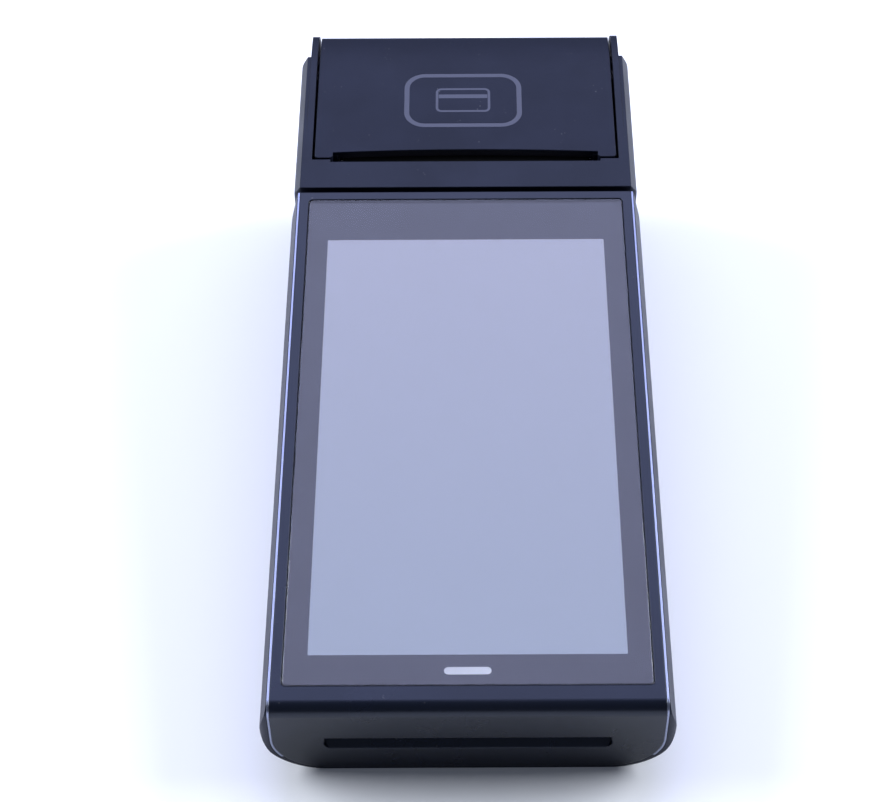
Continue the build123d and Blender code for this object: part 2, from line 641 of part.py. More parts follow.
def make_battery_cover():
    body = door_plane_block(-DOOR_HALF, DOOR_HALF, DOOR_AXIS_Y, DOOR_Y1, 0, DOOR_THICK, 2.0)
    body = body + rod(-27.9, 27.9, DOOR_AXIS_Y, DOOR_AXIS_Z, DOOR_THICK / 2)
    body = body - door_plane_block(-8.2, 8.2, 90.0, DOOR_Y1 + 1, -1, 1.1)
    body = body - door_plane_block(-8.2, 8.2, 102.0, DOOR_Y1 + 1, -1, 3)
    for i in range(3):
        y = 54.5 + 1.6 * i
        body = body - door_plane_block(-7.0, 7.0, y, y + 0.7, -1, 0.35)
    return body


def make_battery_latch():
    slider = door_plane_block(-8.0, 8.0, 92.6, DOOR_Y1 - 0.1, 0.1, 1.05)
    tongue = door_plane_block(-8.0, 8.0, DOOR_Y1 - 1.0, DOOR_Y1 + 1.1, 0.95, 1.05)
    tongue = tongue + door_plane_block(-8.0, 8.0, DOOR_Y1 - 0.2, DOOR_Y1 + 1.1, 0.95, 1.6)
    tongue = tongue - door_plane_block(-9, 9, DOOR_Y1 - 2.0, DOOR_Y1 + 0.05, 1.05, 3)
    body = slider + tongue
    for i in range(4):
        y = 95.0 + 1.5 * i
        body = body - door_plane_block(-6.0, 6.0, y, y + 0.6, -1, 0.35)
    return body


def make_latch_spring():
    coil = helix_spring(1.9, 0.42, 0.06, 5)
    turned = Location((0, 0, 0), (90 - math.degrees(BELLY_SLOPE), 0, 0)) * coil
    pair = [Location((x, 92.3, belly_z(92.3) + 0.57)) * turned for x in (-4, 4)]
    return total(pair)


def make_button(y, side, length):
    bar = front_prism(RectangleRounded(length, 2.9, 1.4), -40.3, 40.3)
    cap = Location((0, y, BUTTON_Z), (0, 0, 90)) * bar
    cap = cap & block(37.5, 40.3, y - 8, y + 8, -20, 0)
    flange = block(36.6, 38.4, y - length / 2 - 0.9, y + length / 2 + 0.9, BUTTON_Z - 2.2, BUTTON_Z + 2.2)
    stem = block(35.9, 36.7, y - 1.2, y + 1.2, BUTTON_Z - 1.0, BUTTON_Z + 1.0)
    shape = cap + flange + stem
    return shape if side > 0 else mirror(shape, about=Plane.YZ)


def make_button_switches():
    shapes = []
    for y, side in ((POWER_Y, 1), (VOLUME_UP_Y, -1), (VOLUME_DOWN_Y, -1)):
        one = block(30.0, 34.9, y - 2.4, y + 2.4, -13.2, -7.6)
        one = one + block(34.9, 35.4, y - 0.8, y + 0.8, BUTTON_Z - 0.7, BUTTON_Z + 0.7)
        shapes.append(one if side > 0 else mirror(one, about=Plane.YZ))
    return total(shapes)


def make_usb_port():
    shell = Location((0, USB_Y, USB_Z), (0, 0, 90)) * front_prism(RectangleRounded(8.9, 3.2, 1.5), -40, 40)
    hole = Location((0, USB_Y, USB_Z), (0, 0, 90)) * front_prism(RectangleRounded(8.3, 2.6, 1.25), -41, 41)
    tongue = block(-39.0, -33.0, USB_Y - 3.3, USB_Y + 3.3, USB_Z - 0.35, USB_Z + 0.35)
    body = (shell & block(-40.1, -31.4, 80, 100, -20, 0)) - (hole & block(-41, -33.0, 80, 100, -20, 0))
    return body + tongue


def make_speaker():
    body = plate(-29, -11, 115, 131, -16.0, -11.5, 1.5)
    return body + plate(-27, -13, 117, 129, -16.4, -16.0, 3)


def make_charging_contacts():
    shapes = []
    for x in (-9, -3, 3, 9):
        floor = table_z(CONTACT_Y) + 1.0
        button = post(x, CONTACT_Y, floor + 0.15, floor + 3.0, 1.55)
        shapes.append(button + post(x, CONTACT_Y, floor + 2.25, floor + 3.2, 1.0))
    return total(shapes)


def make_case_screws():
    shapes = []
    for x, y in SCREW_SPOTS:
        for s in (-1, 1):
            screw = post(s * x, y, -18.3, -17.0, 1.9) + post(s * x, y, -17.2, -5.6, 0.99)
            socket = Location((s * x, y, -18.4)) * extrude(RegularPolygon(0.75, 6), 0.8)
            shapes.append(screw - socket)
    return total(shapes)


def make_printer_screws():
    shapes = []
    for x in PRINTER_SPOTS:
        shapes.append(post(x, 147.0, -25.4, -24.3, 1.9) + post(x, 147.0, -38.0, -25.2, 0.82))
    return total(shapes)


PARTS = {
    "front_bezel": make_front_bezel,
    "touch_glass": make_touch_glass,
    "lcd_panel": lambda: block(-LCD_HALF, LCD_HALF, LCD_Y0, LCD_Y1, -3.2, -1.16),
    "display_gasket": make_display_gasket,
    "display_flex": make_display_flex,
    "side_trim_strips": lambda: side_trim(0) - corner_cutter(SCREEN_HALF, SCREEN_LENGTH, -1, 3.0),
    "inner_chassis": make_inner_chassis,
    "lower_case": make_lower_case,
    "printer_housing": make_printer_housing,
    "tear_bar": make_tear_bar,
    "paper_cover": make_paper_cover,
    "cover_print": make_cover_print,
    "nfc_antenna": make_nfc_antenna,
    "cover_hinge_pin": lambda: rod(-REAR_HALF + 0.1, REAR_HALF - 0.1, HINGE_Y, HINGE_Z, HINGE_PIN_R),
    "cover_hinge_spring": make_hinge_spring,
    "platen_roller": make_platen_roller,
    "platen_shaft": make_platen_shaft,
    "platen_bushes": make_platen_bushes,
    "platen_gear": lambda: shifted(gear(16, 0.5, 0, -33.4, -31.4, 1.52), PLATEN_Y, PLATEN_Z),
    "reduction_gear": make_reduction_gear,
    "gear_stud": make_gear_stud,
    "motor_pinion": make_motor_pinion,
    "stepper_motor": make_stepper_motor,
    "printer_frame": make_printer_frame,
    "thermal_head": make_thermal_head,
    "head_heat_sink": make_heat_sink,
    "head_springs": make_head_springs,
    "paper_bucket": make_paper_bucket,
    "paper_roll": make_paper_roll,
    "paper_core": make_paper_core,
    "main_board": make_main_board,
    "board_screws": make_board_screws,
    "board_shields": make_board_shields,
    "board_connectors": make_board_connectors,
    "backup_cell": make_backup_cell,
    "card_reader_frame": make_card_reader_frame,
    "card_reader_contacts": make_card_reader_contacts,
    "magstripe_head": make_magstripe_head,
    "magstripe_spring": make_magstripe_spring,
    "battery_pack": make_battery_pack,
    "battery_contacts": make_battery_contacts,
    "battery_cover": make_battery_cover,
    "battery_latch": make_battery_latch,
    "latch_springs": make_latch_spring,
    "power_button": lambda: make_button(POWER_Y, 1, 9.0),
    "volume_up_button": lambda: make_button(VOLUME_UP_Y, -1, 7.0),
    "volume_down_button": lambda: make_button(VOLUME_DOWN_Y, -1, 7.0),
    "button_switches": make_button_switches,
    "usb_port": make_usb_port,
    "speaker": make_speaker,
    "charging_contacts": make_charging_contacts,
    "case_screws": make_case_screws,
    "printer_screws": make_printer_screws,
    "front_feet": front_feet,
    "rear_feet": rear_feet,
}

os.makedirs("parts", exist_ok=True)
for name, make in PARTS.items():
    export_step(TO_ROW * make(), f"parts/{name}.step")
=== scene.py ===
import math

import bpy
import numpy as np
from mathutils import Matrix, Quaternion, Vector


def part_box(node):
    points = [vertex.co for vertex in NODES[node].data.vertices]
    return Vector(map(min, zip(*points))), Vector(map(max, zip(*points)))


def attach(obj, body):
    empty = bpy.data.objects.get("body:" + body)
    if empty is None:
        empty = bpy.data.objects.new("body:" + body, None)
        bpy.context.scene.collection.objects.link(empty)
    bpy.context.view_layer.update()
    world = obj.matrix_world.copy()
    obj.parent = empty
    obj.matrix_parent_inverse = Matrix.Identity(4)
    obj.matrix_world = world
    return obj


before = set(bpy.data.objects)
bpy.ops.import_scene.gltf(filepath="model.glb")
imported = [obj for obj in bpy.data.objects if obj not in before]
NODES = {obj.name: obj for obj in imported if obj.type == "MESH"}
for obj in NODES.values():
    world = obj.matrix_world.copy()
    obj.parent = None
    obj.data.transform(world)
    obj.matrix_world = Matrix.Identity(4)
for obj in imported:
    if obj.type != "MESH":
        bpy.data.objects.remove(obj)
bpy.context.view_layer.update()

# ---------------------------------------------------------------- places
# Pieces are laid out with the screen flat: X right, Y from the card end to the printer
# end, Z out of the glass, glass face at zero, in millimetres. tip() stands them up.
SCREEN_TILT = math.radians(9.9)
GLASS_FRONT, GLASS_THICK = 5.7, 1.1
COS, SIN = math.cos(SCREEN_TILT), math.sin(SCREEN_TILT)
GLASS_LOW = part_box("touch_glass")[0]
SHIFT_Y = GLASS_LOW.y * 1000 - GLASS_FRONT * COS
SHIFT_Z = GLASS_LOW.z * 1000 - (GLASS_FRONT * SIN - GLASS_THICK * COS)


def tip(points):
    """Flat-screen millimetres to metres in the standing frame: a turn by the tilt about X,
    then a shift."""
    p = np.asarray(points, float)
    y = p[..., 1] * COS - p[..., 2] * SIN + SHIFT_Y
    z = p[..., 1] * SIN + p[..., 2] * COS + SHIFT_Z
    return np.stack([p[..., 0], y, z], axis=-1) / 1000


# ---------------------------------------------------------------- camera
SENSOR_WIDTH, LENS_LENGTH, SHIFT_ACROSS = 36.0, 89.0, -0.023
CAMERA_PLACE = [0.0, -220.2, 362.2]
CAMERA_AIM = (0.0, 0.6332, -0.7740)
CAMERA_ROLL = math.radians(-0.27)


def make_camera():
    """The one camera, placed and aimed in the flat-screen layout, above the card end."""
    data = bpy.data.cameras.new("camera")
    data.sensor_width = SENSOR_WIDTH
    data.lens = LENS_LENGTH
    data.shift_x = SHIFT_ACROSS
    data.clip_start, data.clip_end = 0.01, 20
    camera = bpy.data.objects.new("camera", data)
    bpy.context.scene.collection.objects.link(camera)
    camera.location = Vector(tip(CAMERA_PLACE))
    x, y, z = CAMERA_AIM
    aim = Vector((x, y * COS - z * SIN, y * SIN + z * COS))
    camera.rotation_mode = "QUATERNION"
    roll = Quaternion((0, 0, 1), CAMERA_ROLL)
    camera.rotation_quaternion = aim.to_track_quat("-Z", "Y") @ roll
    bpy.context.scene.camera = camera


make_camera()


# ---------------------------------------------------------------- meshes
def put_mesh(name, points, faces, body, material):
    """A piece from flat-screen points and faces, riding on a body."""
    mesh = bpy.data.meshes.new(name)
    mesh.from_pydata(tip(points).tolist(), [], [list(map(int, f)) for f in faces])
    mesh.update()
    piece = bpy.data.objects.new(name, mesh)
    bpy.context.scene.collection.objects.link(piece)
    piece.data.materials.append(material)
    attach(piece, body)
    return piece


def rounded_outline(cx, cy, width, height, radius, steps=10):
    """Points round a rounded rectangle: four quarter circles of the radius about centres set
    in from the corners, in order, so that two outlines with equal steps pair up."""
    turn = np.linspace(0, np.pi / 2, steps + 1)
    quarter = np.arange(4)[:, None] * np.pi / 2 + turn[None, :]
    sx = np.array([1, -1, -1, 1])[:, None] * (width / 2 - radius)
    sy = np.array([1, 1, -1, -1])[:, None] * (height / 2 - radius)
    x = cx + sx + radius * np.cos(quarter)
    y = cy + sy + radius * np.sin(quarter)
    return np.stack([x.ravel(), y.ravel()], axis=-1)


def band_between(outer, inner, z):
    """A flat ring: each point of the outer outline is joined to its partner on the inner."""
    n = len(outer)
    flat = np.concatenate([outer, inner])
    points = np.concatenate([flat, np.full((2 * n, 1), z)], axis=1)
    i = np.arange(n)
    j = (i + 1) % n
    return points, np.stack([i, j, j + n, i + n], axis=1)


def patch_inside(outline, z, rings=3):
    """A flat filled shape: the outline shrunk in even steps towards its centre, closed there
    by triangles that meet in one point."""
    n = len(outline)
    centre = outline.mean(axis=0)
    scale = np.linspace(1, 1 / rings, rings)[:, None, None]
    loops = (centre + (outline - centre)[None] * scale).reshape(-1, 2)
    points = np.concatenate([loops, centre[None]])
    points = np.concatenate([points, np.full((len(points), 1), z)], axis=1)
    i = np.arange(n)
    j = (i + 1) % n
    band = np.stack([i, j, j + n, i + n], axis=1)
    quads = [band + k * n for k in range(rings - 1)]
    last = (rings - 1) * n
    fan = np.stack([i + last, j + last, np.full(n, rings * n)], axis=1)
    return points, [*np.concatenate(quads).tolist(), *fan.tolist()]


# ---------------------------------------------------------------- shader groups
def new_group(name, inputs, outputs):
    """An empty shader group with its sockets, and its input and output nodes."""
    group = bpy.data.node_groups.new(name, "ShaderNodeTree")
    for label, kind, value in inputs:
        made = group.interface.new_socket(name=label, in_out="INPUT", socket_type=kind)
        if value is not None:
            made.default_value = value
    for label, kind in outputs:
        group.interface.new_socket(name=label, in_out="OUTPUT", socket_type=kind)
    return group, group.nodes.new("NodeGroupInput"), group.nodes.new("NodeGroupOutput")


def add(tree, kind, settings=None, **inputs):
    """A node with its properties, and its inputs set to values or linked from sockets. An
    input goes by its name, with underscores for spaces, or by its number: i0, i1."""
    node = tree.nodes.new(kind)
    for key, value in (settings or {}).items():
        setattr(node, key, value)
    for key, value in inputs.items():
        numbered = key[0] == "i" and key[1:].isdigit()
        socket = node.inputs[int(key[1:]) if numbered else key.replace("_", " ")]
        if isinstance(value, bpy.types.NodeSocket):
            tree.links.new(value, socket)
        else:
            socket.default_value = value
    return node


def maths(tree, operation, a, b=0.5, clamp=False):
    """One sum on two values."""
    settings = {"operation": operation, "use_clamp": clamp}
    return add(tree, "ShaderNodeMath", settings, i0=a, i1=b).outputs[0]


def ramp(tree, factor, low, high, out_low=0.0, out_high=1.0):
    """A factor between low and high, carried over to the range out_low to out_high."""
    limits = {"i1": low, "i2": high, "i3": out_low, "i4": out_high}
    return add(tree, "ShaderNodeMapRange", {"clamp": True}, i0=factor, **limits).outputs[0]


def mix_colour(tree, factor, a, b):
    """Colour a where the factor is 0, colour b where it is 1."""
    return add(tree, "ShaderNodeMix", {"data_type": "RGBA"}, i0=factor, i6=a, i7=b).outputs[2]


def stretched(tree, place, factors):
    """Places multiplied along each axis, so that a pattern laid on them is pulled out."""
    settings = {"operation": "MULTIPLY"}
    return add(tree, "ShaderNodeVectorMath", settings, i0=place, i1=factors).outputs[0]


def noise(tree, place, scale, detail, **inputs):
    """Cloudy noise at a scale, as a factor."""
    kind = "ShaderNodeTexNoise"
    return add(tree, kind, Vector=place, Scale=scale, Detail=detail, **inputs).outputs[0]


def connect(tree, shader, **sockets):
    """Shader inputs, named with underscores for spaces, linked from sockets."""
    for key, socket in sockets.items():
        tree.links.new(socket, shader.inputs[key.replace("_", " ")])


def make_grain_group():
    """Spark-eroded mould grain: fine noise with a few shallow pits, as height and as a mask."""
    group, given, out = new_group(
        "mould grain",
        [
            ("Place", "NodeSocketVector", None),
            ("Scale", "NodeSocketFloat", 6000.0),
            ("Pits", "NodeSocketFloat", 0.4),
        ],
        [("Height", "NodeSocketFloat"), ("Mask", "NodeSocketFloat")],
    )
    place, scale = given.outputs["Place"], given.outputs["Scale"]
    fine = noise(group, place, scale, 3.0, Roughness=0.6)
    cells = add(group, "ShaderNodeTexVoronoi", Vector=place, Scale=scale)
    pits = maths(group, "MULTIPLY", cells.outputs["Distance"], given.outputs["Pits"])
    cloud = noise(group, place, 55.0, 4.0, Roughness=0.6)
    connect(group, out, Height=maths(group, "ADD", fine, pits), Mask=ramp(group, cloud, 0.35, 0.7))
    return group


def make_edge_group():
    """Rounded edges: the normal turned over a small radius, and a mask where it turns."""
    group, given, out = new_group(
        "worn edge",
        [("Radius", "NodeSocketFloat", 0.0003), ("Spread", "NodeSocketFloat", 0.25)],
        [("Normal", "NodeSocketVector"), ("Mask", "NodeSocketFloat")],
    )
    bevel = add(group, "ShaderNodeBevel", {"samples": 4}, Radius=given.outputs["Radius"])
    true = group.nodes.new("ShaderNodeNewGeometry").outputs["Normal"]
    settings = {"operation": "DOT_PRODUCT"}
    dot = add(group, "ShaderNodeVectorMath", settings, i0=bevel.outputs[0], i1=true)
    turned = maths(group, "SUBTRACT", 1.0, dot.outputs["Value"], clamp=True)
    mask = maths(group, "DIVIDE", turned, given.outputs["Spread"], clamp=True)
    connect(group, out, Normal=bevel.outputs[0], Mask=mask)
    return group


def make_dust_group():
    """Settled dust and finger marks: sparse specks on faces that look up, and broad smears."""
    group, given, out = new_group(
        "dust and smears",
        [
            ("Place", "NodeSocketVector", None),
            ("Dust", "NodeSocketFloat", 0.5),
            ("Smear", "NodeSocketFloat", 0.5),
        ],
        [("Specks", "NodeSocketFloat"), ("Smears", "NodeSocketFloat")],
    )
    place = given.outputs["Place"]
    specks = add(group, "ShaderNodeTexVoronoi", Vector=place, Scale=900.0, Randomness=1.0)
    near = ramp(group, specks.outputs["Distance"], 0.05, 0.16, 1.0, 0.0)
    few = ramp(group, noise(group, place, 130.0, 2.0), 0.60, 0.72)
    face = group.nodes.new("ShaderNodeNewGeometry")
    up = add(group, "ShaderNodeSeparateXYZ", Vector=face.outputs["Normal"]).outputs["Z"]
    lying = ramp(group, up, 0.2, 0.9)
    dust = maths(group, "MULTIPLY", maths(group, "MULTIPLY", near, few), lying)
    pulled = stretched(group, place, (1.0, 0.45, 1.0))
    broad = noise(group, pulled, 38.0, 5.0, Roughness=0.55, Distortion=0.8)
    smear = maths(group, "MULTIPLY", ramp(group, broad, 0.45, 0.75), given.outputs["Smear"])
    speck = maths(group, "MULTIPLY", dust, given.outputs["Dust"])
    connect(group, out, Specks=speck, Smears=smear)
    return group


def make_lines_group():
    """Grinding or drawing lines: noise stretched many times along one direction."""
    group, given, out = new_group(
        "tool lines",
        [("Place", "NodeSocketVector", None), ("Stretch", "NodeSocketVector", None)],
        [("Height", "NodeSocketFloat"), ("Mask", "NodeSocketFloat")],
    )
    pulled = stretched(group, given.outputs["Place"], given.outputs["Stretch"])
    lines = noise(group, pulled, 1.0, 4.0, Roughness=0.7)
    connect(group, out, Height=lines, Mask=ramp(group, lines, 0.3, 0.7))
    return group


GRAIN, EDGE = make_grain_group(), make_edge_group()
DUST, LINES = make_dust_group(), make_lines_group()


# ---------------------------------------------------------------- materials
DUST_COLOUR = (0.32, 0.31, 0.30, 1.0)
# Painted highlight: how much lighter the base colour is made along rounded edges.
EDGE_HIGHLIGHT = 2.2
WHITE = (1.0, 1.0, 1.0)


def new_material(name):
    """A material, its tree, its shader and flat-screen places in metres."""
    material = bpy.data.materials.new(name)
    material.use_nodes = True
    tree = material.node_tree
    shader = tree.nodes["Principled BSDF"]
    given = tree.nodes.new("ShaderNodeTexCoord")
    back = Matrix.Rotation(-SCREEN_TILT, 3, "X") @ Vector((0, -SHIFT_Y / 1000, -SHIFT_Z / 1000))
    turn = (-SCREEN_TILT, 0, 0)
    flat = add(
        tree, "ShaderNodeMapping", Vector=given.outputs["Object"], Location=back, Rotation=turn
    )
    return material, tree, shader, flat.outputs[0]


def use(tree, group, **inputs):
    """A shader group placed in a tree, with its inputs set or linked."""
    return add(tree, "ShaderNodeGroup", {"node_tree": group}, **inputs)


def shade(colour, factor):
    """A colour made lighter or darker, with its alpha."""
    return (colour[0] * factor, colour[1] * factor, colour[2] * factor, 1.0)


def bump(tree, shader, height, distance, **inputs):
    """Relief on the shader's normal, of a depth in metres."""
    node = add(tree, "ShaderNodeBump", Height=height, Distance=distance, **inputs)
    tree.links.new(node.outputs[0], shader.inputs["Normal"])


def moulded(
    name, colour, rough, grain=5200.0, depth=0.000012, edge=0.00035,
    level=0.5, edge_highlight=0.35, dust=0.5, tone=1.25, tint=WHITE,
):
    """Moulded plastic or rubber: grain in the surface, patches a little shinier, rounded edges with
    a painted highlight that lightens their colour, a few specks of dust."""
    material, tree, shader, place = new_material(name)
    skin = use(tree, GRAIN, Place=place, Scale=grain)
    bevelled = use(tree, EDGE, Radius=edge)
    dirt = use(tree, DUST, Place=place, Dust=dust, Smear=0.6)
    base = mix_colour(tree, skin.outputs["Mask"], shade(colour, 1.0), shade(colour, tone))
    # Painted highlight: the base colour is lightened along the rounded edges, where the edge mask
    # turns.
    highlight_mask = maths(tree, "MULTIPLY", bevelled.outputs["Mask"], edge_highlight)
    edge_highlighted = mix_colour(tree, highlight_mask, base, shade(colour, EDGE_HIGHLIGHT))
    dusty = mix_colour(tree, dirt.outputs["Specks"], edge_highlighted, DUST_COLOUR)
    varied = ramp(tree, skin.outputs["Mask"], 0.0, 1.0, rough + 0.03, rough - 0.03)
    smeared = maths(tree, "MULTIPLY", dirt.outputs["Smears"], 0.06)
    smooth = maths(tree, "SUBTRACT", varied, smeared)
    connect(tree, shader, Base_Color=dusty, Roughness=smooth)
    bump(tree, shader, skin.outputs["Height"], depth, Normal=bevelled.outputs["Normal"])
    shader.inputs["Specular IOR Level"].default_value = level
    shader.inputs["Specular Tint"].default_value = (*tint, 1.0)
    return material


def metal(
    name, colour, rough, stretch=(4000.0, 90.0, 4000.0), depth=0.000004, edge=0.0002, tarnish=0.75
):
    """Worked metal: tool lines along one direction, slight tarnish in patches, eased edges."""
    material, tree, shader, place = new_material(name)
    lines = use(tree, LINES, Place=place, Stretch=stretch)
    bevelled = use(tree, EDGE, Radius=edge)
    dirt = use(tree, DUST, Place=place, Dust=0.3, Smear=1.0)
    base = mix_colour(tree, dirt.outputs["Smears"], shade(colour, 1.0), shade(colour, tarnish))
    lined = mix_colour(tree, lines.outputs["Mask"], base, shade(colour, 0.9))
    varied = ramp(tree, lines.outputs["Mask"], 0.0, 1.0, rough - 0.06, rough + 0.06)
    connect(tree, shader, Base_Color=lined, Roughness=varied)
    bump(tree, shader, lines.outputs["Height"], depth, Normal=bevelled.outputs["Normal"])
    shader.inputs["Metallic"].default_value = 1.0
    return material


def printed_ink(name, colour, rough=0.45):
    """Screen-printed ink: a faint unevenness of coverage and a matte face."""
    material, tree, shader, place = new_material(name)
    skin = use(tree, GRAIN, Place=place, Scale=2600.0)
    laid = mix_colour(tree, skin.outputs["Mask"], shade(colour, 0.92), shade(colour, 1.06))
    varied = ramp(tree, skin.outputs["Mask"], 0.0, 1.0, rough - 0.04, rough + 0.05)
    connect(tree, shader, Base_Color=laid, Roughness=varied)
    bump(tree, shader, skin.outputs["Height"], 0.000004)
    return material


def touch_glass():
    """Clear hard glass with faint finger smears in its polish."""
    material, tree, shader, place = new_material("touch glass")
    dirt = use(tree, DUST, Place=place, Dust=0.25, Smear=1.0)
    bevelled = use(tree, EDGE, Radius=0.00025)
    varied = ramp(tree, dirt.outputs["Smears"], 0.0, 1.0, 0.03, 0.09)
    connect(tree, shader, Roughness=varied, Normal=bevelled.outputs["Normal"])
    shader.inputs["Base Color"].default_value = (0.97, 0.98, 1.0, 1.0)
    shader.inputs["IOR"].default_value = 1.5
    shader.inputs["Transmission Weight"].default_value = 1.0
    return material


DISPLAY_NEAR, DISPLAY_FAR = 0.013, 0.124
GLOW_NEAR, GLOW_FAR = (0.210, 0.255, 0.335, 1.0), (0.255, 0.270, 0.350, 1.0)
CELL_GAP = 0.975


def lit_display():
    """A lit blank panel: pale lavender at the far end turning bluer towards the card end,
    over a fine grid of cells."""
    material, tree, shader, place = new_material("lit display")
    along = add(tree, "ShaderNodeSeparateXYZ", Vector=place)
    far = ramp(tree, along.outputs["Y"], DISPLAY_NEAR, DISPLAY_FAR)
    glow = mix_colour(tree, far, GLOW_NEAR, GLOW_FAR)
    square = {"feature": "F1", "distance": "CHEBYCHEV"}
    grid = add(
        tree, "ShaderNodeTexVoronoi", square, Vector=place, Scale=1500.0, Randomness=0.0
    )
    cells = ramp(tree, grid.outputs["Distance"], 0.35, 0.5, 1.0, CELL_GAP)
    dim = add(tree, "ShaderNodeVectorMath", {"operation": "SCALE"}, i0=glow, Scale=cells)
    varied = ramp(tree, cells, CELL_GAP, 1.0, 0.4, 0.3)
    connect(tree, shader, Emission_Color=dim.outputs[0], Roughness=varied)
    shader.inputs["Emission Strength"].default_value = 1.0
    shader.inputs["Base Color"].default_value = (0.02, 0.02, 0.03, 1.0)
    shader.inputs["Specular IOR Level"].default_value = 0.1
    return material


def printed_board():
    """Solder mask with a pattern of copper tracks showing through as a paler green."""
    material, tree, shader, place = new_material("printed board")
    uneven = {"offset": 0.37, "squash": 0.6}
    tracks = add(
        tree, "ShaderNodeTexBrick", uneven, Vector=place, Scale=260.0, Mortar_Size=0.03
    ).outputs["Fac"]
    skin = use(tree, GRAIN, Place=place, Scale=3000.0)
    bevelled = use(tree, EDGE, Radius=0.0001)
    base = mix_colour(tree, tracks, (0.008, 0.10, 0.045, 1), (0.03, 0.2, 0.09, 1))
    coated = mix_colour(tree, skin.outputs["Mask"], base, (0.01, 0.12, 0.06, 1))
    varied = ramp(tree, skin.outputs["Mask"], 0, 1, 0.32, 0.42)
    connect(tree, shader, Base_Color=coated, Roughness=varied)
    fine = maths(tree, "MULTIPLY", skin.outputs["Height"], 0.2)
    height = maths(tree, "ADD", tracks, fine)
    bump(tree, shader, height, 0.00003, Normal=bevelled.outputs["Normal"])
    return material


def wound_paper(name, light, dark, pitch=0.00012):
    """Paper or card wound on a roll: rings about the roll's axis on its ends, fibre all over."""
    material, tree, shader, place = new_material(name)
    low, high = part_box("paper_roll")
    middle = (low + high) / 2
    given = tree.nodes.new("ShaderNodeTexCoord")
    centred = add(tree, "ShaderNodeMapping", Vector=given.outputs["Object"], Location=-middle)
    apart = add(tree, "ShaderNodeSeparateXYZ", Vector=centred.outputs[0])
    squares = [maths(tree, "POWER", apart.outputs[axis], 2.0) for axis in "YZ"]
    radius = maths(tree, "SQRT", maths(tree, "ADD", *squares))
    rings = maths(tree, "FRACT", maths(tree, "DIVIDE", radius, pitch))
    fibre = noise(tree, place, 2500.0, 5.0, Roughness=0.7)
    wander = ramp(tree, noise(tree, place, 300.0, 2.0), 0.35, 0.6, 0.4, 1.0)
    shadow = maths(tree, "MULTIPLY", ramp(tree, rings, 0.0, 0.35, 1.0, 0.0), wander)
    base = mix_colour(tree, maths(tree, "MULTIPLY", shadow, 0.35), light, dark)
    mottled = mix_colour(tree, ramp(tree, fibre, 0.3, 0.8, 0.0, 0.12), base, dark)
    varied = ramp(tree, fibre, 0.3, 0.7, 0.75, 0.9)
    connect(tree, shader, Base_Color=mottled, Roughness=varied)
    sunk = maths(tree, "MULTIPLY", shadow, -1.0)
    height = maths(tree, "ADD", sunk, maths(tree, "MULTIPLY", fibre, 0.3))
    bump(tree, shader, height, 0.00002)
    return material


